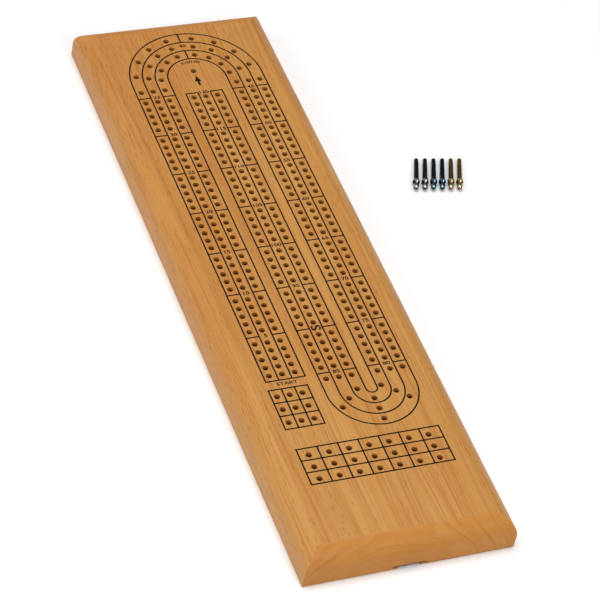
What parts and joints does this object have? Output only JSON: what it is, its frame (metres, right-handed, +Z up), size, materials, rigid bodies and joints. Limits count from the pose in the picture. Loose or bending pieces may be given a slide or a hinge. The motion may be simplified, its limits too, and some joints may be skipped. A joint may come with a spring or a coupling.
{
  "type": "cribbage board",
  "caption": "Wooden cribbage board with a continuous three-track scoring street, start and tally holes, a peg compartment with a sliding metal cover, and loose metal pegs.",
  "frame": {"origin": "centre of the board's underside, on the surface it stands on", "axes": "+X across the board, +Y along it from the start holes towards the top turn, +Z up through the playing face"},
  "size_m": [0.1876, 0.381, 0.019],
  "materials": {
    "board_wood": "satin clear lacquer on honey-coloured open-pored wood",
    "cover_steel": "brushed sheet steel",
    "black_metal": "polished black nickel plate",
    "blue_metal": "polished dark blue plate",
    "brass_metal": "polished brass"
  },
  "bodies": {
    "board": {"wide_stave": "board_wood", "narrow_stave": "board_wood"},
    "cover": {"storage_cover": "cover_steel"},
    "black_peg_1": {"black_peg_1": "black_metal"},
    "black_peg_2": {"black_peg_2": "black_metal"},
    "blue_peg_1": {"blue_peg_1": "blue_metal"},
    "blue_peg_2": {"blue_peg_2": "blue_metal"},
    "brass_peg_1": {"brass_peg_1": "brass_metal"},
    "brass_peg_2": {"brass_peg_2": "brass_metal"}
  },
  "joints": [
    {"name": "cover_slide", "type": "slide", "parent": "board", "child": "cover", "axis": [0, -1, 0], "range_m": [0, 0.092]},
    {"name": "black_peg_1_lift", "type": "slide", "parent": "board", "child": "black_peg_1", "axis": [0, 0, 1], "range_m": [0, 0.03]},
    {"name": "black_peg_2_lift", "type": "slide", "parent": "board", "child": "black_peg_2", "axis": [0, 0, 1], "range_m": [0, 0.03]},
    {"name": "blue_peg_1_lift", "type": "slide", "parent": "board", "child": "blue_peg_1", "axis": [0, 0, 1], "range_m": [0, 0.03]},
    {"name": "blue_peg_2_lift", "type": "slide", "parent": "board", "child": "blue_peg_2", "axis": [0, 0, 1], "range_m": [0, 0.03]},
    {"name": "brass_peg_1_lift", "type": "slide", "parent": "board", "child": "brass_peg_1", "axis": [0, 0, 1], "range_m": [0, 0.03]},
    {"name": "brass_peg_2_lift", "type": "slide", "parent": "board", "child": "brass_peg_2", "axis": [0, 0, 1], "range_m": [0, 0.03]}
  ]
}
